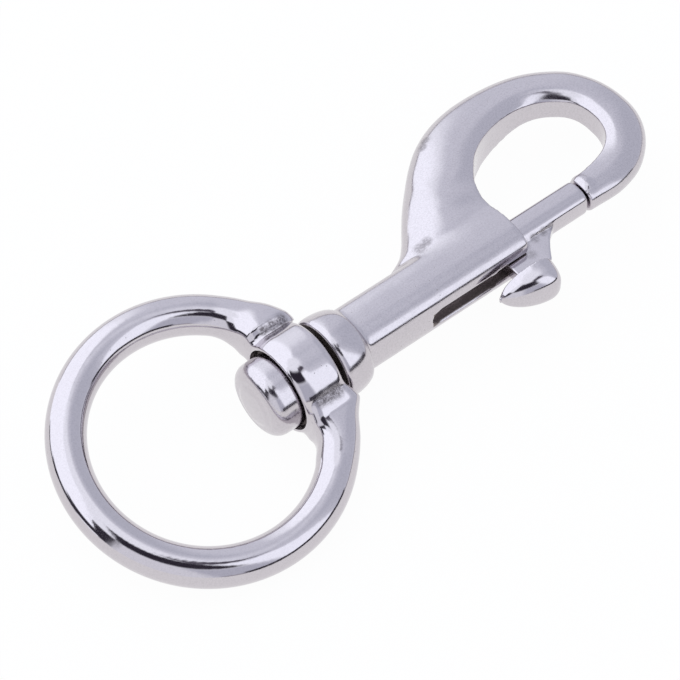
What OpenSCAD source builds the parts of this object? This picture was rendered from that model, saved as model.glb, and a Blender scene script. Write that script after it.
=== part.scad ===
// Swivel snap hook with a spring bolt, cast and polished stainless steel.
// Origin: centre of the eye, on the swivel axis. +X runs along the swivel
// axis to the hook, the hook lies in the XY plane and +Z is up.

/* [Eye] */
// Inside diameter of the eye
eye_inner_d = 30; // [24:0.5:40]
// Diameter of the eye's round bar
eye_bar_d = 5.5; // [4.5:0.1:6.5]
// Turn of the eye about the swivel axis, as it lies
eye_turn = 14.6; // [-20:0.1:20]
// How far an arm has thickened in height where it meets the boss
arm_h = 7.4; // [6:0.1:8.4]
// Width of an arm along the axis where it meets the boss
arm_w = 7.6; // [5.6:0.1:7.8]
// Angle round the eye over which an arm thickens
arm_run = 24; // [15:1:40]

/* [Swivel boss] */
// Diameter of the boss
boss_d = 14; // [13.6:0.1:15]
// Length of the boss along the axis
boss_len = 6.5; // [6:0.1:9]
// How far the boss stands into the eye
boss_in_len = 2.8; // [2:0.1:4]
// Diameter of the round seat sunk in the boss under the head
seat_d = 13; // [11.4:0.1:13.2]
// Depth of the seat
seat_deep = 1.4; // [0.6:0.1:2]
// Rounding of the boss's outer edges
boss_round = 0.8; // [0.2:0.1:1]

/* [Swivel stem] */
// Diameter of the neck that turns in the boss
neck_d = 6.6; // [6:0.1:7.4]
// Running clearance of the neck in the boss, on the radius
neck_fit = 0.08; // [0.04:0.01:0.1]
// Diameter of the head inside the eye
head_d = 10.8; // [9.6:0.1:11]
// Height of the head
head_h = 5.3; // [3.6:0.1:5.8]
// Rounding of the head's edge
head_round = 1.9; // [1:0.1:2.4]
// End play between head and seat
head_gap = 0.3; // [0.2:0.05:0.6]
// Diameter of the collar that backs the boss
collar_d = 12.3; // [10.6:0.1:12.6]
// Length of the collar
collar_len = 4.9; // [4:0.1:6]
// Gap between boss and collar
collar_gap = 0.9; // [0.3:0.05:1.2]

/* [Barrel] */
// Diameter of the barrel
barrel_d = 9.6; // [9:0.02:10.4]
// Offset of the barrel from the axis, toward the spine
barrel_off = 0.25; // [0:0.05:0.5]
// Length of the barrel, from the collar to its front face
barrel_len = 27.9; // [26:0.1:34]
// Depth of the bore from the front face
bore_deep = 32; // [31:0.1:32.6]
// Width of the slot for the thumb knob
slot_w = 2.65; // [2.4:0.05:3]
// Length of the slot from the front face
slot_len = 16.9; // [16.9:0.1:18.2]
// Length of the flat that eases the slot's mouth
mouth_len = 10; // [6:0.5:12]
// Depth of that flat at the front face
mouth_deep = 0.5; // [0.2:0.1:0.9]

/* [Hook] */
// How far the spine and the barrel melt into each other
spine_melt = 2.2; // [0.8:0.1:2.6]
// Length of the hook's opening, from the barrel's face to the far wall
open_len = 22.7; // [20:0.1:26]
// Height of the opening, from the swivel axis to the crown of the loop
open_h = 16; // [14:0.2:19]
// Width of the gate, from the barrel's face to the hook's tip
gate_w = 12.6; // [11.5:0.1:12.6]
// Width of the hook's bar at the far side of the loop
bar_w = 6.7; // [5.6:0.1:7.6]
// Thickness of the hook's bar at the far side of the loop
bar_t = 5; // [4.2:0.1:6]
// Height of the flat inner wall at the far side of the loop
wall_h = 3.9; // [3:0.1:4.6]
// Diameter of the round tip
tip_d = 4.9; // [4.8:0.1:6]
// Offset of the round tip from the axis, toward the loop
tip_off = 0.25; // [0:0.05:0.5]

/* [Bolt] */
// Diameter of the bolt
bolt_d = 4.95; // [4.4:0.05:5.2]
// Running clearance of the bolt in its bore, on the radius
bolt_fit = 0.05; // [0.03:0.01:0.1]
// Length of the bolt
bolt_len = 28.4; // [27:0.1:29]
// Gap between the closed bolt and the hook's tip
tip_gap = 0.3; // [0.2:0.05:0.6]
// Travel of the bolt from closed to fully open
bolt_travel = 12.5; // [11:0.1:12.5]
// Thickness of the web between bolt and knob
web_t = 2.1; // [1.6:0.05:2.3]
// Length of the web along the bolt, at its narrowest
web_len = 6; // [4.5:0.1:6.5]
// Radius of the hollow between web and rod
web_in = 5; // [3:0.1:6]
// Gap between the barrel and the point of the thumb knob
knob_gap = 1.3; // [0.6:0.1:2.5]
// How far the knob's point reaches back past the web
knob_back = 3.9; // [2:0.1:5]
// Length of the thumb knob
knob_len = 9.1; // [8:0.1:11]
// Width of the thumb knob across the slot
knob_w = 7; // [5:0.1:8]
// Thickness of the thumb knob
knob_t = 3.95; // [2.6:0.1:4.8]
// How far the knob's point bends away from the barrel
knob_hook = 0.8; // [0:0.1:1]
// Angle at which the knob leans away from the barrel
knob_lean = 8; // [4:1:18]

/* [Spring] */
// Diameter of the spring's wire
wire_d = 0.45; // [0.35:0.01:0.5]
// Number of turns
turns = 5.6; // [4:0.1:5.8]
// Clearance between spring and bore, on the radius
spring_fit = 0.12; // [0.08:0.01:0.2]

/* [Hidden] */
$fn = 64;
eps = 0.01;

// ---- places along the swivel axis
eye_r = eye_inner_d / 2 + eye_bar_d / 2;          // radius of the bar's centre line
boss_x0 = eye_inner_d / 2 - boss_in_len;            // boss, inner face
boss_x1 = boss_x0 + boss_len;              // boss, outer face
seat_x = boss_x0 + seat_deep;              // floor of the seat
head_x1 = seat_x - head_gap;               // underside of the head
head_x0 = head_x1 - head_h;                // crown of the head
collar_x0 = boss_x1 + collar_gap;
collar_x1 = collar_x0 + collar_len;
face_x = collar_x1 + barrel_len;           // front face of the barrel
bore_x = face_x - bore_deep;               // bottom of the bore
slot_x = face_x - slot_len;                // closed end of the slot
tip_x = face_x + gate_w;                   // end of the hook's tip
bolt_x1 = tip_x - tip_gap;                 // front of the closed bolt
bolt_x0 = bolt_x1 - bolt_len;              // back of the closed bolt
slot_nose = slot_w / 2 - sqrt(max(0, slot_w * slot_w - web_t * web_t)) / 2;
web_x0 = slot_x + slot_nose + bolt_travel + 0.3;   // back edge of the web
barrel_r = barrel_d / 2;
bore_r = bolt_d / 2 + bolt_fit;

// ---- small helpers
function mix(a, b, t) = a + (b - a) * t;
function soft(t) = t * t * (3 - 2 * t);
function clamp01(t) = min(1, max(0, t));

// Catmull-Rom curve through the rows of a table
function curve_row(p, i, t) =
    let (a = p[max(i - 1, 0)], b = p[i], c = p[i + 1],
         d = p[min(i + 2, len(p) - 1)])
    0.5 * (2 * b + (c - a) * t + (2 * a - 5 * b + 4 * c - d) * t * t
           + (3 * b - a - 3 * c + d) * t * t * t);

// Closed skin over a list of rings with the same number of points,
// each ring seen counterclockwise from the side of the first ring
module skin(rings) {
    n = len(rings[0]);
    m = len(rings);
    polyhedron(
        points = [for (r = rings) each r],
        faces = concat(
            [[for (j = [n - 1 : -1 : 0]) j]],
            [[for (j = [0 : n - 1]) (m - 1) * n + j]],
            [for (i = [0 : m - 2], j = [0 : n - 1])
                [i * n + j, i * n + (j + 1) % n, (i + 1) * n + j]],
            [for (i = [0 : m - 2], j = [0 : n - 1])
                [i * n + (j + 1) % n, (i + 1) * n + (j + 1) % n,
                 (i + 1) * n + j]]),
        convexity = 8);
}

// Turned solid about the X axis from a profile of [x, radius] points
module turned(profile, fn = 64)
    rotate([90, 0, 90])
        rotate_extrude($fn = fn)
            polygon([for (p = profile) [p[1], p[0]]]);

// Quarter round from direction a to direction b as [x, radius] points
function round_pts(cx, cr, r, a, b, n = 6) =
    [for (i = [0 : n])
        let (w = mix(a, b, i / n)) [cx + r * cos(w), cr + r * sin(w)]];

// ---- hook: stations along its inner outline
// Each row: place along the opening (0 barrel face, 1 far wall), height in
// the opening (0 axis, 1 crown), outward angle, width of the bar, height
// of the inner wall and thickness of the bar, the last three as multiples
// of the sizes at the far side of the loop.
stations = [
    [0.555,  0.100,  -90, 0.62, 0.96, 0.84],
    [0.625,  0.125,  -88, 0.69, 0.97, 0.86],
    [0.765,  0.160,  -78, 0.79, 0.98, 0.90],
    [0.872,  0.215,  -56, 0.84, 0.98, 0.94],
    [0.952,  0.310,  -32, 0.88, 0.99, 0.97],
    [0.992,  0.430,  -12, 0.93, 1.00, 1.00],
    [1.000,  0.560,    6, 0.95, 1.00, 1.00],
    [0.990,  0.690,   24, 0.95, 1.00, 1.00],
    [0.956,  0.790,   46, 0.97, 1.00, 1.02],
    [0.902,  0.865,   64, 0.98, 1.02, 1.04],
    [0.824,  0.940,   81, 0.99, 1.06, 1.06],
    [0.731,  0.985,   95, 1.02, 1.12, 1.10],
    [0.625,  0.997,  108, 1.10, 1.24, 1.18],
    [0.491,  0.975,  116, 1.20, 1.38, 1.26],
    [0.360,  0.925,  123, 1.27, 1.52, 1.34],
    [0.249,  0.850,  132, 1.32, 1.62, 1.42],
    [0.169,  0.765,  143, 1.37, 1.68, 1.48],
    [0.108,  0.670,  153, 1.46, 1.72, 1.54],
    [0.053,  0.565,  160, 1.58, 1.78, 1.60],
    [0.019,  0.456,  165, 1.73, 1.84, 1.64]];

// Stations where the spine spreads over the barrel. Each row: place of the
// inner end (height above the axis on the barrel's front face, as a
// multiple of the barrel's radius), distance of the outer end behind the
// front face, its height above the axis, and the height of the spine.
fan = [
    [ 1.10, 12.5, 8.20, 4.25],
    [ 0.70, 14.4, 6.50, 4.25],
    [ 0.26, 16.4, 5.55, 3.90],
    [-0.24, 18.0, 5.20, 3.10],
    [-0.62, 19.3, 5.07, 1.90],
    [-0.94, 20.4, 5.03, 0.60]];

flat_h = 0.6;                     // half width of the flat under the barrel
function low_y() = barrel_off - sqrt(barrel_r * barrel_r - flat_h * flat_h);
function barrel_z(y) =
    sqrt(max(0, barrel_r * barrel_r - (y - barrel_off) * (y - barrel_off)));

// Height of the bar's section at u (0 inner wall, 1 outer edge)
function bar_z(u, h, t, crown) =
    u < crown ? mix(h, t, 1 - pow(1 - u / crown, 2))
              : t * pow(max(0, 1 - pow((u - crown) / (1 - crown), 2.3)), 1 / 2.3);

// The greater of two heights, with the hollow between them filled softly
function melt(a, b) =
    let (k = spine_melt * min(1, min(a, b) / 1.5),
         h = max(0, 1 - abs(a - b) / max(k, 0.001)))
    max(a, b) + h * h * k / 4;

// One section: inner point, outer point, wall height, bar height and how
// much of the barrel it takes in
function section(p, q, h, t, n, crown = 0.42) =
    let (us = [for (i = [0 : n]) (1 - cos(180 * i / n)) / 2],
         top = [for (u = us)
             let (y = mix(p[1], q[1], u),
                  s = bar_z(u, h, t, crown),
                  b = barrel_z(y))
             [mix(p[0], q[0], u), y,
              p[2] ? melt(s, b) : s]])
    concat([for (i = [0 : n - 1]) [top[i][0], top[i][1], -top[i][2]]],
           [[q[0], q[1], 0]],
           [for (i = [n - 1 : -1 : 0]) top[i]]);

sec_n = 11;
hook_rings = [
    for (i = [0 : len(stations) - 2], k = [0, 0.5])
        let (r = curve_row(stations, i, k),
             x = face_x + r[0] * open_len, y = r[1] * open_h,
             w = r[3] * bar_w)
        section([x, y, false],
                [x + w * cos(r[2]), y + w * sin(r[2])],
                r[4] * wall_h / 2, r[5] * bar_t / 2, sec_n),
    let (r = stations[len(stations) - 1],
         x = face_x + r[0] * open_len, y = r[1] * open_h, w = r[3] * bar_w)
    section([x, y, true], [x + w * cos(r[2]), y + w * sin(r[2])],
            r[4] * wall_h / 2, r[5] * bar_t / 2, sec_n),
    for (r = fan)
        let (y = max(low_y(), barrel_off + r[0] * barrel_r))
        section([face_x, y, true], [face_x - r[1], r[2]],
                r[3] * 0.9, r[3], sec_n),
    for (k = [0 : 5])
        let (x = mix(face_x, collar_x1 - 1, k / 5),
             q = mix(face_x - 21.2, collar_x1 - 1, k / 5))
        section([x, low_y(), true], [q, barrel_off + barrel_r],
                0.001, 0.001, sec_n)];

module body()
    color([0.78, 0.77, 0.82])
    difference() {
        union() {
            skin(hook_rings);
            // round tip that the bolt closes against
            translate([0, tip_off, 0])
            turned([[tip_x, 0], [tip_x, tip_d / 2 - 0.5],
                    [tip_x + 0.5, tip_d / 2], [tip_x + 1.2, tip_d / 2],
                    [tip_x + 2.6, tip_d / 2 - 0.7], [tip_x + 2.6, 0]]);
            stem();
        }
        // bore for the bolt and its spring
        translate([bore_x, 0, 0]) rotate([0, 90, 0])
            cylinder(r = bore_r, h = bore_deep + 1);
        // slot for the web, rounded at its closed end
        translate([slot_x + slot_w / 2, -barrel_d, -slot_w / 2])
            cube([slot_len, barrel_d, slot_w]);
        translate([slot_x + slot_w / 2, 0, 0]) rotate([90, 0, 0])
            cylinder(d = slot_w, h = barrel_d);
        // flat that eases the slot's mouth, deeper toward the face
        translate([face_x - mouth_len, barrel_off - barrel_r, -barrel_r])
            rotate([0, 0, atan(mouth_deep / mouth_len)])
                translate([0, -3, 0]) cube([mouth_len + 3, 3, barrel_d]);
    }

// Head, neck and collar, turned about the swivel axis
module stem() {
    hr = head_d / 2;
    cr = collar_d / 2;
    turned(concat(
        [[head_x0, 0], [head_x0 + 0.08, hr - head_round - 0.9]],
        round_pts(head_x0 + 0.3 + head_round, hr - head_round, head_round,
                  190, 90),
        [[head_x1 - 0.5, hr], [head_x1, hr - 0.5], [head_x1, neck_d / 2],
         [collar_x0, neck_d / 2], [collar_x0, cr - 0.6]],
        round_pts(collar_x0 + 0.6, cr - 0.7, 0.6, 170, 110, 3),
        // bead that falls away to the barrel
        [for (i = [0 : 8]) let (a = mix(98, 12, i / 8))
            [collar_x0 + 1.2 + (collar_len - 1.2) * cos(a),
             mix(barrel_r + 0.1, cr, sin(a))]],
        [[collar_x1, barrel_r + 0.08], [collar_x1, 0]]));
}

// ---- eye: one arm from inside the boss out to the plain bar
// Angle round the eye, half height and half width of a section as a share
// of the way from bar to arm, shift toward the eye's centre, squareness, and
// how far the section has turned from across the boss to across the bar
boss_edge = asin(min(0.9, (boss_d / 2 + 0.5) / eye_r));
arm_in = 0.45;
arm = [
    [boss_edge - 7.6, 0.27, 0.95, 2.3, 3.4, 0],
    [boss_edge - 2.2, 0.47, 1.22, 1.0, 3.6, 0],
    [boss_edge + 1.1, 1.10, 1.10, 0.6, 3.6, 0.1],
    [boss_edge + arm_run * 0.3, 0.80, 0.60, 0.25, 3.0, 0.43],
    [boss_edge + arm_run * 0.53, 0.42, 0.38, 0.8, 2.5, 0.8],
    [boss_edge + arm_run * 0.7, 0.20, 0.14, 0.35, 2.2, 1],
    [boss_edge + arm_run * 0.8, 0.12, 0.08, 0.1, 2.1, 1],
    [boss_edge + arm_run, -0.12, -0.12, 0, 2.0, 1]];

// The other arm runs up onto the boss with the flat, rough face where the
// casting was cut from its gate
gate_arm = [
    [boss_edge - 10.2, 2.58, 0.40, 2.8, 5.0, 0],
    [boss_edge - 7.3, 2.05, 0.56, 2.2, 5.0, 0],
    [boss_edge - 0.8, 0.79, 1.16, 0, 4.6, 0],
    [boss_edge + arm_run * 0.18, 0.68, 0.46, 0.25, 3.2, 0.35],
    [boss_edge + arm_run * 0.46, 0.47, 0.14, 0, 2.5, 0.8],
    [boss_edge + arm_run * 0.8, 0.14, 0.08, 0.1, 2.1, 1],
    [boss_edge + arm_run, -0.12, -0.12, 0, 2.0, 1]];

function arm_ring(a, hh, hw, r, sq, b, n = 24) = [
    for (i = [0 : n - 1])
        let (w = 360 * i / n, c = cos(w), s = sin(w),
             u = hw * sign(c) * pow(abs(c), 2 / sq),
             v = hh * sign(s) * pow(abs(s), 2 / sq))
        [r * cos(a) + u * cos(b), r * sin(a) + u * sin(b), v]];

module eye_arm(rows)
    skin([for (r = rows)
        arm_ring(r[0],
                 mix(eye_bar_d / 2, arm_h / 2, r[1]),
                 mix(eye_bar_d / 2, arm_w / 2, r[2]),
                 eye_r - arm_in * r[3], r[4], r[0] * r[5])]);

module swivel_ring()
    color([0.74, 0.74, 0.79])
    rotate([eye_turn, 0, 0])
    difference() {
        union() {
            // plain bar, open where the boss stands
            rotate([0, 0, boss_edge + arm_run * 0.8])
                rotate_extrude(angle = 360 - 2 * (boss_edge + arm_run * 0.8),
                               $fn = 96)
                    translate([eye_r, 0]) circle(d = eye_bar_d, $fn = 32);
            eye_arm(arm);
            mirror([0, 1, 0]) eye_arm(gate_arm);
            turned(concat(
                [[boss_x0, 0]],
                round_pts(boss_x0 + boss_round, boss_d / 2 - boss_round,
                          boss_round, 180, 90, 3),
                round_pts(boss_x1 - boss_round, boss_d / 2 - boss_round,
                          boss_round, 90, 0, 3),
                [[boss_x1, 0]]));
        }
        // bore for the neck
        translate([boss_x0 - 1, 0, 0]) rotate([0, 90, 0])
            cylinder(r = neck_d / 2 + neck_fit, h = boss_len + 2);
        // seat under the head
        translate([boss_x0 - 3, 0, 0]) rotate([0, 90, 0])
            cylinder(d = seat_d, h = seat_deep + 3);
        // room for the collar
        translate([boss_x1, 0, 0]) rotate([0, 90, 0])
            cylinder(d = collar_d + 1, h = 6);
    }

// ---- bolt: rod, web and thumb knob in one piece
knob_x0 = web_x0 - knob_back;              // point of the knob
knob_y = barrel_off - barrel_r - knob_gap; // flat face of the knob

// Half width of the knob along its length, as a share of the widest, and
// how deep its round side is there
knob_top = 0.72;
function knob_s(t) =
    t < knob_top ? sin(90 * t / knob_top)
                 : sqrt(max(0, 1 - pow((t - knob_top) / (1 - knob_top), 2)));

// Leaf with a flat face to the barrel and a round face to the thumb. Its
// point bends away from the barrel
function knob_back_y(t) = -knob_hook * pow(max(0, 1 - t / 0.25), 2);
module knob() {
    n = 12;
    m = 16;
    translate([knob_x0, knob_y, 0]) rotate([0, 0, -knob_lean])
        skin([for (i = [0 : m])
            let (t = (1 - cos(180 * i / m)) / 2,
                 s = max(0.08, knob_s(t)),
                 w = knob_w / 2 * s,
                 d = knob_t * pow(max(0.012, knob_s(t)), 0.3))
            concat(
                [for (j = [0 : n]) let (a = 180 * j / n)
                    [t * knob_len, mix(knob_back_y(t), -d, sin(a)),
                     -w * cos(a)]],
                [for (k = [0.5, -0.5])
                    [t * knob_len, knob_back_y(t) + 0.06 * s, w * k]])]);
}

module bolt()
    color([0.80, 0.79, 0.83])
    union() {
        turned([[bolt_x0, 0], [bolt_x0, bolt_d / 2 - 0.4],
                [bolt_x0 + 0.4, bolt_d / 2], [bolt_x1 - 0.5, bolt_d / 2],
                [bolt_x1, bolt_d / 2 - 0.5], [bolt_x1, 0]]);
        // web, hollowed in front down to the knob
        translate([0, 0, -web_t / 2])
            linear_extrude(web_t)
                polygon(concat(
                    [[web_x0, 0], [web_x0, knob_y - 0.6],
                     [web_x0 + web_len * 0.78, knob_y - 1.6],
                     [web_x0 + web_len - 0.9, knob_y - 0.3]],
                    [for (i = [0 : 6]) let (a = mix(157, 98, i / 6))
                        [web_x0 + web_len + web_in * (1 + cos(a)) - 0.1,
                         -bolt_d / 2 + 0.2 - web_in * (1 - sin(a))]],
                    [[web_x0 + web_len + web_in, 0]]));
        knob();
    }

// ---- spring: round wire between the bottom of the bore and the bolt
spring_r = bore_r - spring_fit - wire_d / 2;
spring_a = bore_x + wire_d / 2 + 0.05;
spring_b = bolt_x0 - wire_d / 2 - 0.05;

module spring()
    color([0.55, 0.55, 0.58])
    skin([for (i = [0 : 14 * turns])
        let (w = 360 * i / 14,
             x = mix(spring_a, spring_b, soft_end(i / (14 * turns))))
        [for (j = [0 : 7])
            let (v = 45 * j)
            [x + wire_d / 2 * sin(v),
             (spring_r + wire_d / 2 * cos(v)) * cos(w),
             (spring_r + wire_d / 2 * cos(v)) * sin(w)]]]);

// Closed turns at both ends of the spring
function soft_end(t) =
    let (e = 0.9 / turns, f = 0.55 / ((spring_b - spring_a)))
    t < e ? f * t / e
    : t > 1 - e ? 1 - f * (1 - t) / e
    : mix(f, 1 - f, (t - e) / (1 - 2 * e));

body();
swivel_ring();
bolt();
spring();
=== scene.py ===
# %% [markdown]
# # Swivel snap hook
#
# A small cast steel hook. A round eye turns on a stem behind the barrel, and
# a sprung bolt slides in the barrel and closes the hook. This lesson dresses
# the plain solids of the frame: each metal piece is shaped again with soft,
# polished edges, then gets its own finish, light and camera.
#
# The frame comes first. It brings the solids, the bodies that move and the
# box that the finished pieces have to stay in.

# %% Frame
import math

import bmesh
import bpy
from mathutils import Matrix, Vector


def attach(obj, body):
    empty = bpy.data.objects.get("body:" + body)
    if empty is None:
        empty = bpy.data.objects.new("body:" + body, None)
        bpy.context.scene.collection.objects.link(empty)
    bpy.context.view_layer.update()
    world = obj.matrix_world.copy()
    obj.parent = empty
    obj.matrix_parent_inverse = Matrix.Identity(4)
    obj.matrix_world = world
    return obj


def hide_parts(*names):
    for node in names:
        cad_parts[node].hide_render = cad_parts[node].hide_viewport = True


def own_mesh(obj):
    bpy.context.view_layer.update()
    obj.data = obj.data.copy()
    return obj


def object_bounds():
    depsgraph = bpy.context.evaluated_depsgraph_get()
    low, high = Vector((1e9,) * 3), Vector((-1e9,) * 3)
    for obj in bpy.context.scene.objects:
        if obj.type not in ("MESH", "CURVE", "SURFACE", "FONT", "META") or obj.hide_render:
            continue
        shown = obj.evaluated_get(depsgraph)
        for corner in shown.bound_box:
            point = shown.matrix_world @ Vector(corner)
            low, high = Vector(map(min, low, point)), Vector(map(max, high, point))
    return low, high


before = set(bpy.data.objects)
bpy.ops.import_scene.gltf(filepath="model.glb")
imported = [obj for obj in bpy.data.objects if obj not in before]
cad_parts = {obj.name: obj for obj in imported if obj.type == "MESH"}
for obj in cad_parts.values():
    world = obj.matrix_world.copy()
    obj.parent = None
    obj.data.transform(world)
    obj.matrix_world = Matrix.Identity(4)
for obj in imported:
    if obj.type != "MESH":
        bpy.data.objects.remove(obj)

cad_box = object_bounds()
MM = 0.001                      # the shapes are worked in millimetres
scene = bpy.context.scene

# %% [markdown]
# ## Tools of the workshop
#
# A casting is a smooth skin over a row of cross sections. In Blender the
# first section is a circle whose points are moved into place, and every next
# section is pulled out of it with extrude. That keeps each point in line
# with its neighbour, which bridging loose loops would not promise on a bar
# that bends this much. Turned parts are a profile spun about the axis.

# %% Numbers between numbers
def mix(a, b, t):
    """The number t of the way from a to b."""
    return a + (b - a) * t


def flow(rows, i, t):
    """A smooth curve through the rows of a table, t of the way past row i."""
    last = len(rows) - 1
    four = [rows[max(i - 1, 0)], rows[i], rows[min(i + 1, last)],
            rows[min(i + 2, last)]]
    return [0.5 * (2 * q + (r - p) * t + (2 * p - 5 * q + 4 * r - s) * t * t
                   + (3 * q - p - 3 * r + s) * t ** 3)
            for p, q, r, s in zip(*four)]


# %% Loft: one section pulled out of the last
def loft(bm, sections):
    """A skin over closed rings of points, with a face at both ends."""
    count = len(sections[0])
    loop = bmesh.ops.create_circle(bm, segments=count, radius=1)["verts"]
    for k, section in enumerate(sections):
        edges = [bm.edges.get((loop[i], loop[(i + 1) % count]))
                 for i in range(count)]
        if k:
            out = bmesh.ops.extrude_edge_only(bm, edges=edges)["geom"]
            fresh = {v for v in out if isinstance(v, bmesh.types.BMVert)}
            loop = [next(e.other_vert(v) for e in v.link_edges
                         if e.other_vert(v) in fresh) for v in loop]
            edges = [bm.edges.get((loop[i], loop[(i + 1) % count]))
                     for i in range(count)]
        for vert, place in zip(loop, section):
            vert.co = place
        if k in (0, len(sections) - 1):
            bmesh.ops.contextual_create(bm, geom=edges)


# %% Turning: a profile spun about the swivel axis
def turn(bm, profile, steps=96):
    """profile is a list of (x, radius), from axis to axis."""
    verts = [bm.verts.new((x, 0, r)) for x, r in profile]
    edges = [bm.edges.new(pair) for pair in zip(verts, verts[1:])]
    bmesh.ops.spin(bm, geom=verts + edges, cent=(0, 0, 0), axis=(1, 0, 0),
                   angle=2 * math.pi, steps=steps, use_merge=True)
    bmesh.ops.remove_doubles(bm, verts=bm.verts, dist=1e-4)
    bmesh.ops.dissolve_degenerate(bm, edges=bm.edges, dist=1e-5)


def quarter(x, r, radius, start, end, steps=8):
    """Points of a round from angle start to angle end, in degrees."""
    return [(x + radius * math.cos(math.radians(mix(start, end, k / steps))),
             r + radius * math.sin(math.radians(mix(start, end, k / steps))))
            for k in range(steps + 1)]


# %% Solids and how they join
def solid(name, bm):
    """An object from a bmesh, with its faces pointing outward."""
    bmesh.ops.recalc_face_normals(bm, faces=bm.faces)
    mesh = bpy.data.meshes.new(name)
    bm.to_mesh(mesh)
    bm.free()
    obj = bpy.data.objects.new(name, mesh)
    scene.collection.objects.link(obj)
    return obj


def made(name, maker, *args, **more):
    """A solid from one of the tools above."""
    bm = bmesh.new()
    maker(bm, *args, **more)
    return solid(name, bm)


def cast(name, base, joined, cut, grain, polish):
    """One casting: solids joined, holes cut, then edges melted and polished.

    grain is the size of the even mesh laid over it, in millimetres, and
    polish is how often that mesh is smoothed."""
    for other, operation in ([(o, "UNION") for o in joined]
                             + [(o, "DIFFERENCE") for o in cut]):
        step = base.modifiers.new(operation.title(), "BOOLEAN")
        step.operation = operation
        step.object = other
        step.solver = "MANIFOLD"
    even = base.modifiers.new("Even mesh", "REMESH")
    even.mode = "VOXEL"
    even.voxel_size = grain
    soft = base.modifiers.new("Polish", "SMOOTH")
    soft.factor = 0.5
    soft.iterations = polish
    view = bpy.context.evaluated_depsgraph_get()
    mesh = bpy.data.meshes.new_from_object(base.evaluated_get(view))
    for used in [base] + joined + cut:
        bpy.data.objects.remove(used)
    mesh.transform(Matrix.Scale(MM, 4))
    mesh.materials.clear()
    mesh.shade_smooth()
    obj = bpy.data.objects.new(name, mesh)
    scene.collection.objects.link(obj)
    print(name, len(mesh.polygons), "faces")
    return obj


# %% [markdown]
# ## Body
#
# Stem, barrel and hook are one casting on the real object. The bar of the
# hook is a section that walks round the opening: a flat inner wall, a
# crowned top and a rounded outer edge. Toward the barrel the sections fan
# out and melt into it, and that sweep is what makes the hook look poured
# and not cut. The barrel is a square with such full corners that it is
# nearly round. The hook could be cut from plain solids and rounded with
# bevels, but a bevel can't follow a bar that changes its width as it bends,
# so one skin over many sections was chosen.

# %% Sizes along the axis
FACE_X = 52.4                   # front face of the barrel
BARREL_R = 4.8                  # where the round stem meets the barrel
BARREL_Y, BARREL_Z = 4.38, 4.22  # half the barrel's width and its height
BARREL_OFF = 0.25               # the barrel sits this much toward the spine
SQUARE = 2.8                    # how square its section is, 2 is a circle
SPINE_MELT = 1.3                # how far spine and barrel melt together
COLLAR_X0, COLLAR_X1, COLLAR_R = 19.6, 24.5, 6.15
HEAD_X0, HEAD_X1, HEAD_R = 8.0, 13.3, 5.4
NECK_R = 3.3
TIP_X, TIP_R, TIP_OFF = 65.0, 2.45, 0.25
BORE_X, BORE_R = 20.4, 2.525
SLOT_X, SLOT_HALF = 35.5, 1.325
OPEN_L, OPEN_H = 22.7, 16       # the hook's opening
BAR_W, BAR_T, WALL_H = 6.7, 5, 3.9
CROWN = 0.28                    # share of the bar's width that is eased
CROWN_WIDE = CROWN + 0.12       # the same at the tip and on the spine
FAN_RUN = 21.2                  # how far the spine reaches over the barrel
SLIVER = 0.01                   # height of the bar where it has run out

# %% The bar round the opening
# place along the opening, height in it, outward angle, width, wall and
# thickness as shares of the far side's sizes
stations = [
    [0.555, 0.100, -90, 0.62, 0.96, 0.84],
    [0.625, 0.125, -88, 0.69, 0.97, 0.86],
    [0.765, 0.160, -78, 0.79, 0.98, 0.90],
    [0.872, 0.215, -56, 0.84, 0.98, 0.94],
    [0.952, 0.310, -32, 0.88, 0.99, 0.97],
    [0.992, 0.430, -12, 0.93, 1.00, 1.00],
    [1.000, 0.560, 6, 0.95, 1.00, 1.00],
    [0.990, 0.690, 24, 0.95, 0.92, 1.01],
    [0.956, 0.790, 46, 0.97, 0.88, 1.04],
    [0.902, 0.865, 64, 0.98, 0.86, 1.08],
    [0.824, 0.940, 81, 0.99, 0.87, 1.13],
    [0.731, 0.985, 95, 1.02, 0.92, 1.16],
    [0.625, 0.997, 108, 1.10, 1.10, 1.21],
    [0.491, 0.975, 116, 1.20, 1.36, 1.27],
    [0.360, 0.925, 123, 1.27, 1.52, 1.34],
    [0.249, 0.850, 132, 1.32, 1.62, 1.42],
    [0.169, 0.765, 143, 1.37, 1.68, 1.48],
    [0.108, 0.670, 153, 1.46, 1.72, 1.54],
    [0.053, 0.565, 160, 1.58, 1.78, 1.60],
    [0.019, 0.456, 165, 1.73, 1.84, 1.64]]

# where the spine spreads over the barrel: height of the inner end on the
# face, distance back and height of the outer end, height of the spine
fan = [
    [1.21, 12.5, 8.20, 3.98],
    [0.77, 14.4, 6.45, 3.95],
    [0.29, 16.4, 5.45, 3.70],
    [-0.26, 18.0, 5.00, 3.00],
    [-0.68, 19.3, 4.78, 1.90],
    [-0.98, 20.4, 4.64, 0.60]]


# %% One section of the hook
EASE, EDGE = 1.55, 2.3          # roundness of the bar's inner and outer edge


def barrel_z(y):
    """Height of the barrel's section, a square with full round corners."""
    out = min(1, abs(y - BARREL_OFF) / BARREL_Y)
    return BARREL_Z * (1 - out ** SQUARE) ** (1 / SQUARE)


def bar_z(u, wall, top, crown):
    """Height of the bar at u: 0 is the inner wall and 1 the outer edge. The
    inner edge is eased over the share crown of the bar's width."""
    if u < crown:
        return mix(wall, top, 1 - (1 - u / crown) ** EASE)
    out = (u - crown) / (1 - crown)
    return top * max(0, 1 - out ** EDGE) ** (1 / EDGE)


def melt(a, b, most=SPINE_MELT):
    """The greater height, with the hollow between the two filled softly."""
    reach = most * min(1, min(a, b) / 1.5)
    near = max(0, 1 - abs(a - b) / max(reach, 0.001))
    return max(a, b) + near * near * reach / 4


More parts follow.
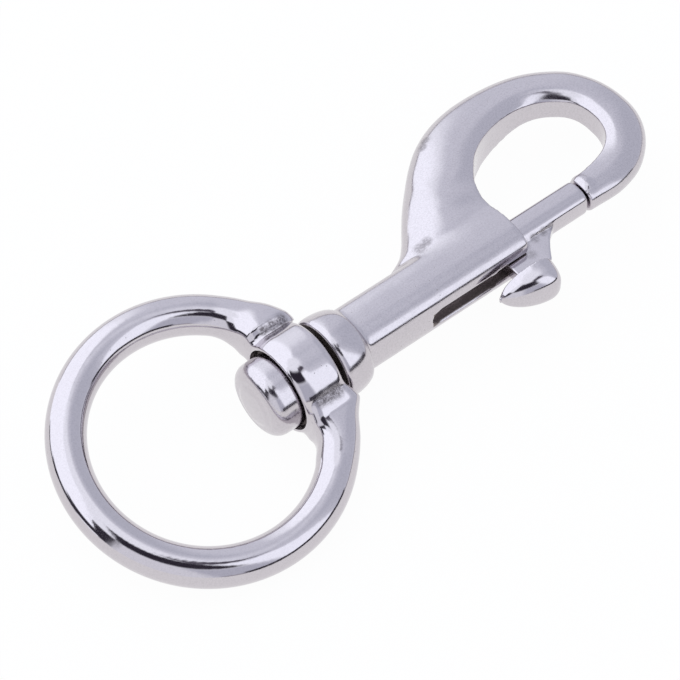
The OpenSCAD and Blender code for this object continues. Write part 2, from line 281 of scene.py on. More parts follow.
def section(px, py, qx, qy, wall, top, crown, count=26):
    """A closed ring of points from inner point p to outer point q. From the
    barrel's face back it is the higher one of bar and barrel, melted."""
    half = []
    for i in range(count + 1):
        u = (1 - math.cos(math.pi * i / count)) / 2
        x, y = mix(px, qx, u), mix(py, qy, u)
        bar = bar_z(u, wall, top, crown)
        if px < FACE_X + 1:
            bar = melt(bar, barrel_z(y))
        half.append((x, y, bar))
    under = [(x, y, -z) for x, y, z in half[:-1]]
    x, y, _ = half[-1]
    return under + [(x, y, 0)] + half[-2::-1]


# %% Rows of the hook, from the tip to the collar
LOW_Y = BARREL_OFF - BARREL_Y + 0.001   # the barrel's side toward the knob
HIGH_Y = BARREL_OFF + BARREL_Y          # and its side toward the spine
rows = []
for i, (along, high, angle, wide, wall, top) in enumerate(stations):
    x, y = FACE_X + along * OPEN_L, high * OPEN_H
    out = math.radians(angle)
    rows.append([x, y, x + wide * BAR_W * math.cos(out),
                 y + wide * BAR_W * math.sin(out),
                 wall * WALL_H / 2, top * BAR_T / 2,
                 CROWN if 4 <= i <= 17 else CROWN_WIDE])
for low, back, high, top in fan:
    rows.append([FACE_X, max(LOW_Y, BARREL_OFF + low * BARREL_Y),
                 FACE_X - back, high, top * 0.9, top, CROWN_WIDE])
rows.append([FACE_X, LOW_Y, FACE_X - FAN_RUN, HIGH_Y, SLIVER, SLIVER,
             CROWN_WIDE])

# %% Sections of the hook
FINE = 5                        # sections to each row
PLAIN = 12                      # steps along the plain barrel
hook_sections = [section(*flow(rows, i, k / FINE))
                 for i in range(len(rows) - 1) for k in range(FINE)]
for k in range(PLAIN + 1):
    hook_sections.append(section(
        mix(FACE_X, COLLAR_X1 - 1, k / PLAIN), LOW_Y,
        mix(FACE_X - FAN_RUN, COLLAR_X1 - 1, k / PLAIN), HIGH_Y,
        SLIVER, SLIVER, CROWN))
print("sections in the hook:", len(hook_sections))

# %% [markdown]
# The stem is turned about the axis: a domed head inside the eye, the neck
# that the eye turns on, and the collar with its bead. A lathe makes such a
# part from one profile, and spin does the same, so it stays truly round for
# the eye to turn on. The tip that the bolt closes against is turned too,
# with a small chamfer. The bore, the slot and the flat are cut last, as
# they are on the real casting.

# %% Stem and tip
stem_profile = (
    # the head: a nearly flat end, a wide round and a small one behind it
    [(HEAD_X0, 0), (HEAD_X0 + 0.08, HEAD_R - 2.8)]
    + quarter(HEAD_X0 + 2.2, HEAD_R - 1.9, 1.9, 190, 90)
    + quarter(HEAD_X1 - 0.5, HEAD_R - 0.5, 0.5, 90, 0, 4)
    # the neck
    + [(HEAD_X1, NECK_R), (COLLAR_X0, NECK_R)]
    # the collar: a bead, then a long round down to the barrel
    + quarter(COLLAR_X0 + 0.6, COLLAR_R - 0.7, 0.6, 170, 110, 5)
    + [(COLLAR_X0 + 1.2 + 3.7 * math.cos(math.radians(a)),
        mix(BARREL_R + 0.1, COLLAR_R, math.sin(math.radians(a))))
       for a in range(98, 10, -6)]
    + [(COLLAR_X1, BARREL_R + 0.08), (COLLAR_X1, 0)])
tip_profile = ([(TIP_X, 0)] + quarter(TIP_X + 0.15, TIP_R - 0.5, 0.15,
                                      180, 110, 4)
               + [(TIP_X + 0.8, TIP_R), (TIP_X + 1.5, TIP_R),
                  (TIP_X + 2.6, TIP_R - 0.7), (TIP_X + 2.6, 0)])

hook = made("hook", loft, hook_sections)
stem = made("stem", turn, stem_profile, steps=128)
tip = made("tip", turn, tip_profile, steps=64)
tip.data.transform(Matrix.Translation((0, TIP_OFF, 0)))

# %% Bore, slot and the flat at its mouth
FLAT_RUN, FLAT_SLOPE = 10, 0.04     # length of the flat, and its fall
bore = made("bore", turn, [(BORE_X, 0), (BORE_X, BORE_R),
                           (FACE_X + 2, BORE_R), (FACE_X + 2, 0)], steps=64)


def slot_cutter(bm):
    """A round end mill run from the slot's closed end out past the face."""
    ring = bmesh.ops.create_circle(bm, cap_ends=True, segments=48,
                                   radius=SLOT_HALF)["verts"]
    for v in ring:
        v.co = (v.co.x + SLOT_X + SLOT_HALF + (20 if v.co.x > 0 else 0),
                0, v.co.y)
    lift = bmesh.ops.extrude_face_region(bm, geom=list(bm.faces))["geom"]
    bmesh.ops.translate(bm, vec=(0, -9, 0),
                        verts=[v for v in lift
                               if isinstance(v, bmesh.types.BMVert)])


def flat_cutter(bm):
    """A block that takes a sliver off, deeper toward the face."""
    bmesh.ops.create_cube(bm, size=1)
    bmesh.ops.scale(bm, vec=(14, 3, 10), verts=bm.verts)
    bmesh.ops.translate(bm, vec=(7, -1.5, 0), verts=bm.verts)
    bmesh.ops.rotate(bm, cent=(0, 0, 0), verts=bm.verts,
                     matrix=Matrix.Rotation(math.atan(FLAT_SLOPE), 3, "Z"))
    bmesh.ops.translate(bm, vec=(FACE_X - FLAT_RUN, BARREL_OFF - BARREL_Y, 0),
                        verts=bm.verts)


slot = made("slot", slot_cutter)
flat = made("flat", flat_cutter)

# %% The body as one polished casting
body = cast("hook_body", hook, [stem, tip], [bore, slot, flat],
            grain=0.22, polish=7)
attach(body, "hook")
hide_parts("body")

# %% [markdown]
# ## Eye
#
# The eye is a round bar that swells at both ends and runs into the boss,
# which is what turns on the neck. A torus with a cylinder through it would
# leave a crease at each arm. Here one loft goes all the way round, from
# inside the boss through the plain bar and back, so there is no seam where
# the bar begins. The boss is turned and then bored for the neck and for the
# head's seat.

# %% Sizes of the eye
EYE_TURN = math.radians(14.6)   # the eye rests on the table at its edge
EYE_R, EYE_BAR = 17.75, 2.75    # to the middle of the bar, and its own
BOSS_X0, BOSS_X1, BOSS_R = 12.2, 18.7, 7
BOSS_ROUND = 0.8                # its edge toward the collar
RIM_RUN, RIM_LOW = 2.6, 0.48    # its taper toward the eye's inside
SEAT_X, SEAT_R = 13.6, 6.0      # the head's seat, sunk into the boss
NECK_PLAY, COLLAR_PLAY = 0.08, 0.5
ARM_H, ARM_W = 3.7, 3.8         # half the height and width of an arm
BOSS_EDGE, ARM_RUN = 25.0, 24   # angles round the eye, in degrees

# angle, half height, half width, shift inward, squareness and turn of the
# section, the sizes as shares of the way from bar to arm
arm = [
    [BOSS_EDGE - 7.6, 0.74, 0.95, 2.3, 3.4, 0],
    [BOSS_EDGE - 1.8, 0.62, 1.12, 1.0, 3.4, 0],
    [BOSS_EDGE + 1.1, 1.12, 1.02, 0.6, 3.4, 0.04],
    [BOSS_EDGE + ARM_RUN * 0.3, 0.80, 0.58, 0.30, 2.9, 0.48],
    [BOSS_EDGE + ARM_RUN * 0.53, 0.42, 0.22, 0.42, 2.5, 0.74],
    [BOSS_EDGE + ARM_RUN * 0.7, 0.22, 0.10, 0.22, 2.25, 0.90],
    [BOSS_EDGE + ARM_RUN * 0.85, 0.09, 0.04, 0.08, 2.08, 0.98],
    [BOSS_EDGE + ARM_RUN, 0, 0, 0, 2.0, 1],
    [BOSS_EDGE + ARM_RUN + 4, 0, 0, 0, 2.0, 1]]
gate_arm = [
    [BOSS_EDGE - 10.2, 2.58, 0.40, 2.8, 5.0, 0],
    [BOSS_EDGE - 7.3, 2.05, 0.56, 2.2, 5.0, 0],
    [BOSS_EDGE - 0.8, 0.79, 1.16, 0, 4.6, 0],
    [BOSS_EDGE + ARM_RUN * 0.18, 0.68, 0.46, 0.25, 3.2, 0.35],
    [BOSS_EDGE + ARM_RUN * 0.46, 0.47, 0.14, 0, 2.5, 0.8],
    [BOSS_EDGE + ARM_RUN * 0.8, 0.12, 0.06, 0.1, 2.1, 1],
    [BOSS_EDGE + ARM_RUN, 0, 0, 0, 2.0, 1],
    [BOSS_EDGE + ARM_RUN + 4, 0, 0, 0, 2.0, 1]]


# %% One section of the eye
def arm_section(angle, high, wide, inward, square, share, side=1, count=48):
    """A ring of points round the bar. Side -1 is the arm near the knob."""
    h, w = mix(EYE_BAR, ARM_H, high), mix(EYE_BAR, ARM_W, wide)
    r = EYE_R - 0.45 * inward
    a, b = math.radians(angle), math.radians(angle * share)
    ring = []
    for i in range(count):
        t = side * 2 * math.pi * i / count
        c, s = math.cos(t), math.sin(t)
        u = w * math.copysign(abs(c) ** (2 / square), c)
        v = h * math.copysign(abs(s) ** (2 / square), s)
        ring.append((r * math.cos(a) + u * math.cos(b),
                     side * (r * math.sin(a) + u * math.sin(b)), side * v))
    return ring


def arm_rows(table, crest):
    """Straight flats up to the crest, then a smooth run to the bar."""
    out = []
    for i in range(len(table) - 1):
        for k in range(FINE):
            t = k / FINE
            out.append([mix(p, q, t) for p, q in zip(table[i], table[i + 1])]
                       if i < crest else flow(table[crest:], i - crest, t))
    return out


# %% The bar of the eye
CREST = 2                       # the row where an arm leaves the boss
arm_end = round(BOSS_EDGE + ARM_RUN) + 4
eye_sections = [arm_section(*row) for row in arm_rows(arm, CREST)]
eye_sections += [arm_section(a, 0, 0, 0, 2, 1)
                 for a in range(arm_end, 361 - arm_end, 3)]
eye_sections += [arm_section(*row, side=-1)
                 for row in arm_rows(gate_arm, CREST)[::-1]]
eye = made("eye", loft, eye_sections)
print("sections in the eye:", len(eye_sections))

# %% Boss and bores
boss_profile = (
    [(BOSS_X0, 0)]
    + quarter(BOSS_X0 + 0.25, BOSS_R - 0.75, 0.25, 180, 112)
    + [(BOSS_X0 + mix(0.25, RIM_RUN, k / 8),
        BOSS_R - RIM_LOW * (1 - k / 8) ** 2) for k in range(1, 8)]
    + quarter(BOSS_X1 - BOSS_ROUND, BOSS_R - BOSS_ROUND, BOSS_ROUND, 90, 0)
    + [(BOSS_X1, 0)])
bore_x0, bore_x1 = 9, BOSS_X1 + 6.6     # well clear of the boss at both ends
bore_profile = [
    (bore_x0, 0), (bore_x0, SEAT_R), (SEAT_X, SEAT_R),
    (SEAT_X, NECK_R + NECK_PLAY), (BOSS_X1, NECK_R + NECK_PLAY),
    (BOSS_X1, COLLAR_R + COLLAR_PLAY), (bore_x1, COLLAR_R + COLLAR_PLAY),
    (bore_x1, 0)]
boss = made("boss", turn, boss_profile, steps=128)
neck_bore = made("neck bore", turn, bore_profile, steps=96)
for part in (eye, boss, neck_bore):
    part.data.transform(Matrix.Rotation(EYE_TURN, 4, "X"))
ring = cast("swivel_eye", eye, [boss], [neck_bore], grain=0.185, polish=10)
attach(ring, "eye")
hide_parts("swivel_ring")

# %% [markdown]
# ## Bolt
#
# The bolt is a rod with a thumb knob on a thin web, all one casting. The
# knob is a leaf with a flat side to the barrel and a full side for the
# thumb, and its point is hooked. A stretched ball would be rounder than
# that, so the knob is lofted across its length. The web comes out of the
# rod in one hollow sweep, and the rod has four faint flats, like the
# outside of the barrel.

# %% Sizes of the bolt
BOLT_R, BOLT_X0, BOLT_X1 = 2.475, 36.3, 64.7
ROD, ROD_SQUARE = 2.23, 2.8     # half its width at the flats, squareness
WEB_X0, WEB_L, WEB_IN, WEB_T = 48.81, 6.0, 5.0, 2.1
WEB_EASE, WEB_MELT = 0.6, 1.5   # where its edge starts to sweep, its fillet
WEB_STEPS, KNOB_STEPS = 40, 48
KNOB_X0, KNOB_Y, KNOB_L, KNOB_W, KNOB_T = 44.91, -5.85, 9.1, 6.15, 3.7
KNOB_SQUARE = 3                 # fullness of its section, 2 is a half round
KNOB_LEAN = math.radians(8)
KNOB_TOP = 0.72                 # the widest place, as a share of its length
KNOB_HOOK, HOOK_RUN = 0.8, 0.25     # how far its point bends, and over what
FILL_WIDE, FILL_DEEP = 0.6, 0.4     # below 1 the shoulders fill out sooner


def knob_share(t):
    """The outline of a leaf: its half width at t as a share of the most."""
    if t < KNOB_TOP:
        return math.sin(math.pi / 2 * t / KNOB_TOP)
    return math.sqrt(max(0, 1 - ((t - KNOB_TOP) / (1 - KNOB_TOP)) ** 2))


# %% Knob
def knob_section(t, count=32):
    """The knob across its length: 0 is its point and 1 its full end."""
    share = knob_share(t)
    wide = KNOB_W / 2 * max(0.04, share) ** FILL_WIDE
    fuller = wide - KNOB_W / 2 * share
    deep = KNOB_T * max(0.012, share) ** FILL_DEEP
    back = -KNOB_HOOK * max(0, 1 - t / HOOK_RUN) ** 2 - 0.5 * fuller
    x = t * KNOB_L - 0.4 * fuller
    ring = []
    for j in range(count + 1):
        a = math.pi * j / count
        side = math.cos(a)
        out = math.sin(a) ** (2 / KNOB_SQUARE)
        ring.append((x, mix(back, min(-deep, back - 0.5), out),
                     -wide * (1.06 - 0.12 * out) * math.copysign(
                         abs(side) ** (2 / KNOB_SQUARE), side)))
    ring += [(x, back + 0.06 * share, wide * k) for k in (0.5, 0, -0.5)]
    return ring


knob = made("knob", loft, [
    knob_section((1 - math.cos(math.pi * i / KNOB_STEPS)) / 2)
    for i in range(KNOB_STEPS + 1)])
knob.data.transform(Matrix.Translation((KNOB_X0, KNOB_Y, 0))
                    @ Matrix.Rotation(-KNOB_LEAN, 4, "Z"))
print("faces of the knob:", len(knob.data.polygons))


# %% Web and rod
def rod_z(y):
    """Height of the rod's section, a circle with four flats."""
    out = min(1, abs(y) / ROD)
    return ROD * (1 - out ** ROD_SQUARE) ** (1 / ROD_SQUARE)


def web_section(t, count=24):
    """The web across the bolt: thick at the rod, with a soft hollow."""
    x = mix(WEB_X0, WEB_X0 + WEB_L + WEB_IN, t)
    over = max(0, x - WEB_X0 - WEB_L + WEB_EASE) / (WEB_IN + WEB_EASE)
    low = mix(KNOB_Y - 0.7, 0.4 - ROD, 1 - (1 - over) ** 1.9)
    half = []
    for i in range(count + 1):
        y = mix(-0.6, low, i / count)
        half.append((x, y, melt(rod_z(y) - 0.04, WEB_T / 2 * (
            1 - 0.25 * over), WEB_MELT)))
    return [(x, y, -z) for x, y, z in half] + half[::-1]


def flattened_rod(bm):
    """A turned rod with four flats rolled on it, inside its round bore."""
    turn(bm, [(BOLT_X0, 0)]
         + quarter(BOLT_X0 + 0.4, BOLT_R - 0.4, 0.4, 180, 90, 4)
         + quarter(BOLT_X1 - 0.45, BOLT_R - 0.45, 0.45, 90, 0, 5)
         + [(BOLT_X1, 0)])
    for v in bm.verts:
        r = math.hypot(v.co.y, v.co.z)
        if r > 0:
            fit = ROD / BOLT_R / (abs(v.co.y / r) ** ROD_SQUARE
                                  + abs(v.co.z / r) ** ROD_SQUARE) ** (
                                      1 / ROD_SQUARE)
            v.co.y, v.co.z = v.co.y * fit, v.co.z * fit


web = made("web", loft, [web_section(i / WEB_STEPS)
                         for i in range(WEB_STEPS + 1)])
rod = made("rod", flattened_rod)
bolt = cast("spring_bolt", rod, [web, knob], [], grain=0.12, polish=4)
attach(bolt, "bolt")
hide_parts("bolt")

# %% [markdown]
# ## Spring
#
# A coil spring pushes the bolt shut. It is one circle of wire spun about
# the axis while it moves along it, with a closed turn at each end. A curve
# with a round bevel would do as well, but this leaves a plain mesh.

# %% Spring wire
WIRE = 0.225
COIL_R = BORE_R - 0.12 - WIRE
END_TURN, OPEN_TURNS = (0.9, 0.5), (3.8, 14.4)      # turns, and their length


def coil(bm):
    """The wire, swept turn by turn from the bottom of the bore."""
    wire = bmesh.ops.create_circle(bm, segments=10, radius=WIRE)["verts"]
    for v in wire:
        v.co = (v.co.x + BORE_X + WIRE + 0.05, COIL_R + v.co.y, 0)
    ring = list(bm.edges)
    for turns, run in (END_TURN, OPEN_TURNS, END_TURN):
        steps = round(turns * 30)
        out = bmesh.ops.spin(bm, geom=wire + ring, cent=(0, 0, 0),
                             axis=(1, 0, 0), dvec=(run / steps, 0, 0),
                             angle=turns * 2 * math.pi, steps=steps)
        last = out["geom_last"]
        wire = [g for g in last if isinstance(g, bmesh.types.BMVert)]
        ring = [g for g in last if isinstance(g, bmesh.types.BMEdge)]
    bmesh.ops.holes_fill(bm, edges=[e for e in bm.edges if e.is_boundary])
    bmesh.ops.scale(bm, vec=(MM, MM, MM), verts=bm.verts)


spring = made("coil_spring", coil)
spring.data.shade_smooth()
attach(spring, "hook")
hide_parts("spring")
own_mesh(spring)
print(spring.name, len(spring.data.polygons), "faces")

# %% [markdown]
# ## Finish
#
# The steel is tumbled and polished, so it is bright but never a perfect
# mirror. The finish is laid on in coats, as it came about: the waves,
# hairlines and grain of the polish, the small pits of the casting, and a
# faint cloudiness. In the corners, bores and slot the colour is darkened
# as painted shade, and the surface there is rougher. A smooth metal shader
# alone would look like chrome. All of it is worked out from the place on
# the piece, so it stays on the metal when the piece moves.

# %% Node helper
class Finish:
    """A material that is put together node by node."""

    def __init__(self, name):
        self.material = bpy.data.materials.new(name)
        self.material.use_nodes = True
        self.tree = self.material.node_tree
        self.tree.nodes.clear()

    def add(self, kind, inputs=None, **settings):
        node = self.tree.nodes.new(kind)
        for key, value in settings.items():
            setattr(node, key, value)
        for key, value in (inputs or {}).items():
            if isinstance(value, bpy.types.NodeSocket):
                self.tree.links.new(value, node.inputs[key])
            else:
                node.inputs[key].default_value = value
        return node

    def math(self, operation, a, b=0.0, clamp=False):
        return self.add("ShaderNodeMath", {0: a, 1: b}, operation=operation,
                        use_clamp=clamp).outputs[0]

    def plus(self, a, b):
        return self.math("ADD", a, b)

    def times(self, a, b):
        return self.math("MULTIPLY", a, b)

    def between(self, value, low, high, to_low=0.0, to_high=1.0):
        """to_low below low and to_high above high, and soft in between."""
        return self.add("ShaderNodeMapRange",
                        {0: value, 1: low, 2: high, 3: to_low, 4: to_high},
                        interpolation_type="SMOOTHSTEP").outputs[0]

    def coat(self, share, under, over):
        """The colour over laid on the colour under, as far as share says."""
        return self.add("ShaderNodeMix", {0: share, 6: under, 7: (*over, 1)},
                        data_type="RGBA").outputs[2]


# %% Steel: a finish with a height, a roughness and a tone
class Steel(Finish):
    def __init__(self, name, colour):
        super().__init__(name)
        self.where = self.add("ShaderNodeTexCoord").outputs["Object"]
        self.place = self.add("ShaderNodeVectorMath",
                              {0: self.where, 1: [1 / MM] * 3},
                              operation="MULTIPLY").outputs[0]
        self.axes = self.add("ShaderNodeSeparateXYZ", {0: self.place}).outputs
        self.tone = (*colour, 1)

    def noise(self, scale, detail=2.0, rough=0.5, vector=None):
        where = self.where if vector is None else vector
        return self.add("ShaderNodeTexNoise",
                        {"Vector": where, "Scale": scale, "Detail": detail,
                         "Roughness": rough}).outputs["Fac"]

    def raise_by(self, amount):
        self.height = self.plus(self.height, amount)

    def roughen_by(self, amount):
        self.rough = self.plus(self.rough, amount)


# %% Polish: slow waves, hairlines and a fine grain
def polish_coat(f, gloss, grainy):
    brushed = f.add("ShaderNodeMapping", {"Vector": f.where,
                                          "Rotation": (0.3, 0.5, 0.6),
                                          "Scale": (500, 9000, 9000)})
    f.height = f.times(f.noise(240), 0.030)
    f.raise_by(f.times(f.noise(1, vector=brushed.outputs[0]), 0.0007))
    f.raise_by(f.times(f.noise(5200, 3), grainy))
    f.rough = f.between(f.noise(420, 3), 0.3, 0.7, gloss * 0.75, gloss * 1.3)


# %% Pits: a few cells of a cell pattern, in patches
def pit_coat(f, pits):
    cells = f.add("ShaderNodeTexVoronoi", {"Vector": f.where, "Scale": 1500})
    lot = f.add("ShaderNodeSeparateColor",
                {0: cells.outputs["Color"]}).outputs[0]
    chosen = f.times(f.math("GREATER_THAN", lot, 0.82),
                     f.between(f.noise(90), 0.45, 0.6))
    pit = f.times(f.between(cells.outputs["Distance"], 0.05, 0.16, 1, 0),
                  chosen)
    f.height = f.math("SUBTRACT", f.height, f.times(pit, 0.012 * pits))
    f.roughen_by(f.times(pit, 0.3))
    f.tone = f.coat(f.math("MULTIPLY", pit, 0.55 * pits, True), f.tone,
                    (0.16, 0.13, 0.11))


# %% Cloud: the tone is never quite even
def cloud_coat(f, cloud):
    f.tone = f.coat(f.between(f.noise(3800, 2, 0.7), 0.35, 0.75, 0.0, cloud),
                    f.tone, (0.30, 0.285, 0.30))


# %% Rough spot: a rough patch in a corner, darkened with painted shade
def rough_shaded_spot(f, centre, radius, depth, dark):
    away = f.add("ShaderNodeVectorMath", {0: f.place, 1: centre},
                 operation="DISTANCE").outputs["Value"]
    near = f.between(away, radius * 0.3, radius, 1, 0)
    coarse = f.noise(3200, 4, 0.7)
    f.raise_by(f.times(near, f.times(coarse, depth)))
    f.roughen_by(f.times(near, 0.2))
    # Painted shade: the tone is darkened across the spot, in patches of the coarse noise.
    f.tone = f.coat(
        f.times(near, f.between(coarse, 0.35, 0.6, dark * 0.3, dark)),
        f.tone, (0.14, 0.125, 0.135))


# %% Hollows and slots: darkened with painted shade
def in_hollow(f, start, fade, end, radius):
    """1 inside a round hollow about the axis, and 0 outside it."""
    x, y, z = f.axes
    out = f.math("SQRT", f.plus(f.times(y, y), f.times(z, z)))
    along = f.times(f.between(x, start, start + fade),
                    f.between(x, end - 0.05, end, 1, 0))
    return f.times(along, f.between(out, radius - 0.06, radius, 1, 0))


def in_slot(f, low, high):
    """1 inside a box between two corners, and 0 outside it."""
    inside = 1.0
    for axis, start, end in zip(f.axes, low, high):
        inside = f.times(inside, f.times(
            f.between(axis, start, start + 0.05),
            f.between(axis, end - 0.05, end, 1, 0)))
    return inside


# Painted shade: a dark colour laid over the tone in the hollows and slots, where the
# surface is also rougher and bumpier.
def hollow_shade_coat(f, shade_mask, skin):
    f.tone = f.coat(shade_mask, f.tone, skin)
    f.roughen_by(f.times(shade_mask, 0.35))
    f.raise_by(f.times(shade_mask, f.times(f.noise(2500, 4, 0.7), 0.08)))


# %% Polished steel: all the coats
def polished_steel(name, colour, gloss=0.15, pits=1.0, cloud=0.22,
                   grainy=0.0012, skin=(0.12, 0.10, 0.10),
                   rough_shaded_spots=(), hollows=(), slots=()):
    """rough_shaded_spots are (centre, radius, depth, darkness) of rough patches
    darkened with painted shade, hollows are (x from, fade, x to, radius)
    about the axis, and slots are boxes between two corners. All of them are
    in millimetres. Skin is the dark colour painted as shade inside the
    hollows and slots."""
    f = Steel(name, colour)
    polish_coat(f, gloss, grainy)
    pit_coat(f, pits)
    cloud_coat(f, cloud)
    for spot in rough_shaded_spots:
        rough_shaded_spot(f, *spot)
    inside = ([in_hollow(f, *hollow) for hollow in hollows]
              + [in_slot(f, *slot) for slot in slots])
    if inside:
        shade_mask = inside[0]
        for other in inside[1:]:
            shade_mask = f.math("MAXIMUM", shade_mask, other)
        hollow_shade_coat(f, shade_mask, skin)
    bump = f.add("ShaderNodeBump", {"Height": f.height, "Strength": 1.0,
                                    "Distance": MM})
    shader = f.add("ShaderNodeBsdfPrincipled",
                   {"Base Color": f.tone, "Metallic": 1.0,
                    "Roughness": f.rough, "Normal": bump.outputs[0]})
    f.add("ShaderNodeOutputMaterial", {0: shader.outputs[0]})
    print(name, len(f.tree.nodes), "nodes")
    return f.material


# %% [markdown]
# The body is tumbled, so it is a little duller than the eye, which is
# polished by itself before it goes on. Two rough spots, darkened with a
# painted dark reflection, sit where the spine meets the barrel and where
# it turns into the hook. On the eye rough spots darkened with painted
# shade lie in the corners between the arms and the boss, and on the bolt
# along the root of the web.

# %% Finish of each piece
STEEL = (0.60, 0.566, 0.603)
body.data.materials.append(polished_steel(
    # The skin colour in the stem under the boss, the bore and the slot is painted shade.
    "tumbled cast steel", STEEL, skin=(0.26, 0.225, 0.215),
    # These spots are rough patches darkened with a painted dark reflection.
    rough_shaded_spots=[((40.3, 4.7, 3.1), 1.3, 0.003, 0.6),
                 ((41.6, 4.9, 3.5), 1.1, 0.003, 0.6),
                 ((52.3, 18.7, 2.4), 1.1, 0.003, 0.6),
                 ((53.4, 19.5, 2.4), 1.1, 0.003, 0.6)],
    hollows=[(13.25, 0.05, 19.75, 5.95), (20.2, 0.05, FACE_X, BORE_R + 0.06)],
    slots=[((SLOT_X - 0.05, -6, -SLOT_HALF - 0.06),
            (FACE_X, -2.3, SLOT_HALF + 0.06))]))
ring.data.materials.append(polished_steel(
    "polished eye steel", STEEL, gloss=0.085, pits=0.7, cloud=0.15,
    grainy=0.0007,
    # These spots are rough patches darkened with painted shade in the corners by the boss.
    rough_shaded_spots=[((14.4, -6.5, 2.8), 1.2, 0.014, 0.9),
                 ((15.6, -6.5, 2.9), 1.5, 0.014, 0.9),
                 ((17.0, -6.5, 2.8), 1.5, 0.014, 0.9),
                 ((14.6, 5.9, 5.1), 1.0, 0.01, 0.95),
                 ((16.0, 5.8, 5.1), 1.2, 0.01, 0.95),
                 ((17.5, 5.7, 5.0), 1.3, 0.01, 0.95)],
    # The skin colour in the head's seat is painted shade.
    hollows=[(12.6, 0.7, BOSS_X1 + 0.2, SEAT_R + 0.06)]))
bolt.data.materials.append(polished_steel(
    "polished bolt steel", STEEL, gloss=0.11, pits=0.8, cloud=0.18,
    # These spots are rough patches darkened with painted shade along the root of the web.
    rough_shaded_spots=[((52.8, -2.5, 1.2), 1.1, 0.012, 0.5),
                 ((54.6, -2.4, 1.2), 1.0, 0.012, 0.5),
                 ((56.3, -2.3, 1.2), 0.9, 0.012, 0.6),
                 ((57.7, -2.2, 1.1), 0.8, 0.012, 0.6),
                 ((52.5, -4.2, 1.0), 1.1, 0.008, 0.4)]))
spring.data.materials.append(polished_steel(
    "spring wire", (0.45, 0.44, 0.45), gloss=0.3))

# %% [markdown]
# ## Studio
#
# Polished metal shows its surroundings, so the studio matters as much as
# the finish. Bare lamps would leave small hard glints. A light tent is
# better: a wide dome of pale cloth that lights from all sides, with panels
# in it for the metal to mirror. The grey ones give the flats their tone,
# and the few dark ones draw the edges. Only the metal sees the tent, not the
# camera. The floor is plain and white, and keeps a soft shadow.

# %% Floor
FLOOR_SEEN = 0.96               # share of plain white in what is seen
floor_z = cad_box[0][2] - 0.00005
bm = bmesh.new()
bmesh.ops.create_grid(bm, x_segments=1, y_segments=1, size=3)
bmesh.ops.translate(bm, vec=(0.03, 0, floor_z), verts=bm.verts)
floor = solid("floor", bm)
f = Finish("white table")
path = f.add("ShaderNodeLightPath")
seen = f.math("MAXIMUM", path.outputs["Is Camera Ray"], f.math(
    "MAXIMUM", path.outputs["Is Glossy Ray"],
    path.outputs["Is Transmission Ray"]))
plain = f.add("ShaderNodeBsdfDiffuse", {"Color": (0.93, 0.93, 0.93, 1)})
glow = f.add("ShaderNodeEmission", {"Color": (1, 1, 1, 1), "Strength": 1.0})
both = f.add("ShaderNodeMixShader", {0: f.times(seen, FLOOR_SEEN),
                                     1: plain.outputs[0],
                                     2: glow.outputs[0]})
f.add("ShaderNodeOutputMaterial", {0: both.outputs[0]})
floor.data.materials.append(f.material)
print("floor at", round(floor_z / MM, 2), "mm")

# %% Light tent
bm = bmesh.new()
bmesh.ops.create_uvsphere(bm, u_segments=64, v_segments=32, radius=1.2)
bmesh.ops.reverse_faces(bm, faces=bm.faces)     # they face the hook
mesh = bpy.data.meshes.new("light tent")
bm.to_mesh(mesh)
bm.free()
tent = bpy.data.objects.new("light_tent", mesh)
scene.collection.objects.link(tent)
tent.visible_camera = False
tent.visible_shadow = False
f = Finish("tent cloth")
way = f.add("ShaderNodeVectorMath",
            {0: f.add("ShaderNodeTexCoord").outputs["Object"]},
            operation="NORMALIZE").outputs[0]
axes = f.add("ShaderNodeSeparateXYZ", {0: way}).outputs
around = f.times(f.math("ARCTAN2", axes[1], axes[0]), 180 / math.pi)
up = f.times(f.math("ARCSINE", axes[2]), 180 / math.pi)


def panel(under, left, right, low, high, colour, lean, soft):
    """A piece of cloth between two compass angles and two heights. Its sides
    lean by lean degrees for each degree of height, and soft is its edge."""
    side = f.math("SUBTRACT", around,
                  f.times(f.math("SUBTRACT", up, low), lean))
    share = f.times(f.between(side, left - soft, left + soft),
                    f.between(side, right - soft, right + soft, 1, 0))
    share = f.times(share, f.times(
        f.between(up, low - soft, low + soft),
        f.between(up, high - soft, high + soft, 1, 0)))
    return f.coat(share, under, colour)


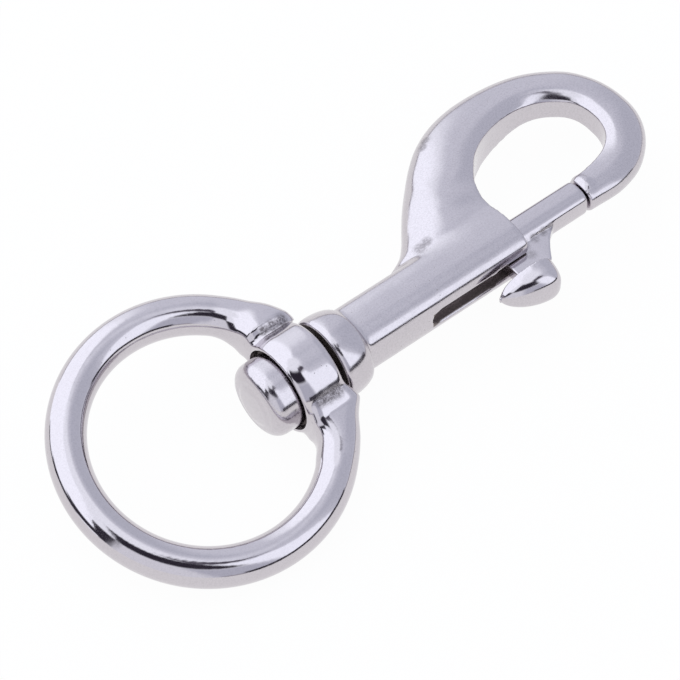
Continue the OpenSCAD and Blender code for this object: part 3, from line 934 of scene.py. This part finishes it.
# %% Panels of the tent
# from and to compass angle, from and to height, colour, lean, softness, in
# degrees. 0 is past the hook's end, -90 is the knob's side and 180 is past
# the eye.
panels = [
    (-178, -92, -20, 45, (0.96, 0.98, 1.05), 0, 6),         # eye's side
    (-48, 74, -20, 74, (0.86, 0.89, 0.99), -0.25, 6),       # hook's end
    (-46, 34, 6, 64, (0.68, 0.71, 0.81), 0, 10),            # its grey middle
    (-112, -76, -6, 42, (0.64, 0.66, 0.76), -0.2, 6),       # knob's side
    (84, 200, -8, 76, (1.47, 1.53, 1.64), -0.35, 4),        # bright wall
    (-76, -46, 6, 62, (1.36, 1.42, 1.54), -0.25, 3),        # soft box
    (-110, 100, -4, 4, (0.42, 0.40, 0.44), 0, 2),           # grey horizon
    (-98, -36, -4, 9.5, (0.05, 0.045, 0.06), 0, 1.5),       # dark skirting
    (118, 142, -4, 5, (0.06, 0.055, 0.07), 0, 2),           # dark strip that
    (134, 164, 0, 11, (0.04, 0.035, 0.05), 0, 3),           # climbs toward
    (156, 200, 3, 19, (0.04, 0.035, 0.05), 0, 3),           # the eye
    (-200, -172, 0, 45, (0.04, 0.035, 0.05), 0.3, 4),       # leaning post
    (-160, -88, 44, 71, (0.035, 0.03, 0.045), 0, 4),        # camera's opening
    (-96, -50, 66, 76, (0.10, 0.09, 0.12), 0, 3)]           # and its flap
cloth = (1.24, 1.29, 1.38, 1)
for shape in panels:
    cloth = panel(cloth, *shape)
print("panels in the tent:", len(panels))

# %% The tent lights up
glow = f.add("ShaderNodeEmission", {"Color": cloth, "Strength": 1.0})
f.add("ShaderNodeOutputMaterial", {0: glow.outputs[0]})
tent.data.materials.append(f.material)

# %% [markdown]
# ## Room and camera
#
# Outside the tent all is plain white. The camera looks down on the hook
# from the side of the eye and the knob. A long lens from further back keeps
# the far end of the hook nearly as large as the near end, where a short
# lens would make the eye look too big.

# %% Room
world = bpy.data.worlds.new("white room")
scene.world = world
world.use_nodes = True
world.node_tree.nodes["Background"].inputs[0].default_value = (1, 1, 1, 1)
world.node_tree.nodes["Background"].inputs[1].default_value = 1.0
scene.view_settings.view_transform = "Standard"

# %% Camera
CAMERA_AT = (-0.1211, -0.1795, 0.3119)
BACKWARD = (-0.3729, -0.4654, 0.8027)   # from what it looks at toward it
LENS, SENSOR = 155, 36                  # in millimetres
camera = bpy.data.objects.new("camera", bpy.data.cameras.new("camera"))
scene.collection.objects.link(camera)
camera.location = CAMERA_AT
camera.rotation_euler = Vector(BACKWARD).to_track_quat("Z", "Y").to_euler()
camera.data.lens = LENS
camera.data.sensor_width = SENSOR
camera.data.clip_start = 0.01
scene.camera = camera
print("camera", round(camera.location.length / MM), "mm from the eye")
